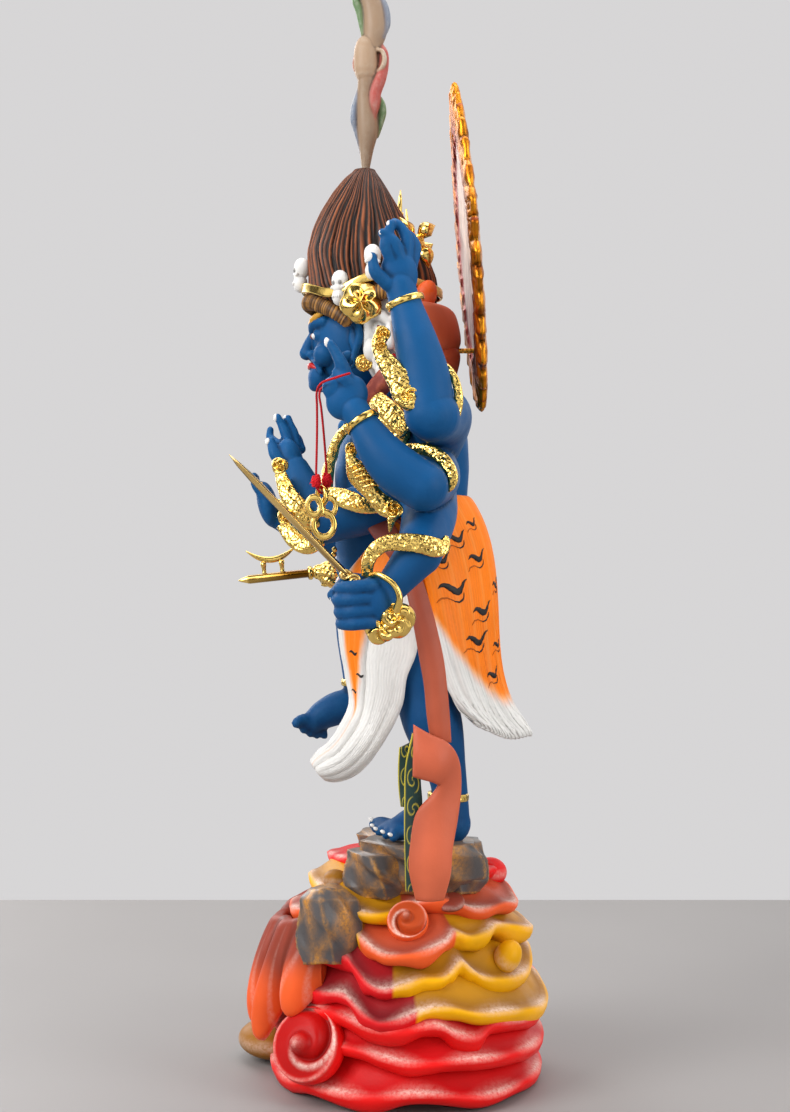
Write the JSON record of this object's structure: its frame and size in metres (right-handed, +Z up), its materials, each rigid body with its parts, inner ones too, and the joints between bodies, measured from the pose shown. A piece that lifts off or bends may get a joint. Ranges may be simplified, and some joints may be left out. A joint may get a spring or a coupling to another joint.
{
  "type": "ucchusma statue",
  "caption": "Painted resin guardian statue with several heads and arms, standing on one leg on a cloud base, with a flame halo behind.",
  "frame": {"origin": "centre of the cloud base's flat underside, on the surface that it stands on", "axes": "+Z up, the figure faces -Y, +X towards the figure's left"},
  "size_m": [0.2008, 0.1394, 0.4579],
  "materials": {
    "blue_paint": "matte airbrushed blue paint on resin",
    "hair_paint": "near-black paint with copper dry-brushed ridges",
    "white_paint": "matte white paint",
    "red_paint": "matte red paint",
    "tiger_paint": "orange paint with black stripes and a white fur edge",
    "scarf_paint": "terracotta paint, darker in the folds",
    "cloud_paint": "red, orange and ochre paint with pale dry-brushed edges",
    "plume_paint": "grey, beige and green paint shaded into one another",
    "flame_gold": "dented gold with burnt orange hollows",
    "bright_gold": "polished pale gold plating",
    "red_thread": "twisted red thread"
  },
  "bodies": {
    "root": {"cloud_base": "cloud_paint", "figure": "blue_paint", "cloud_plume": "plume_paint", "flame_halo": "flame_gold", "halo_rod": "flame_gold", "sword": "bright_gold", "halberd": "bright_gold", "golden_staff": "bright_gold", "noose": "bright_gold", "red_cord": "red_thread"}
  },
  "joints": []
}
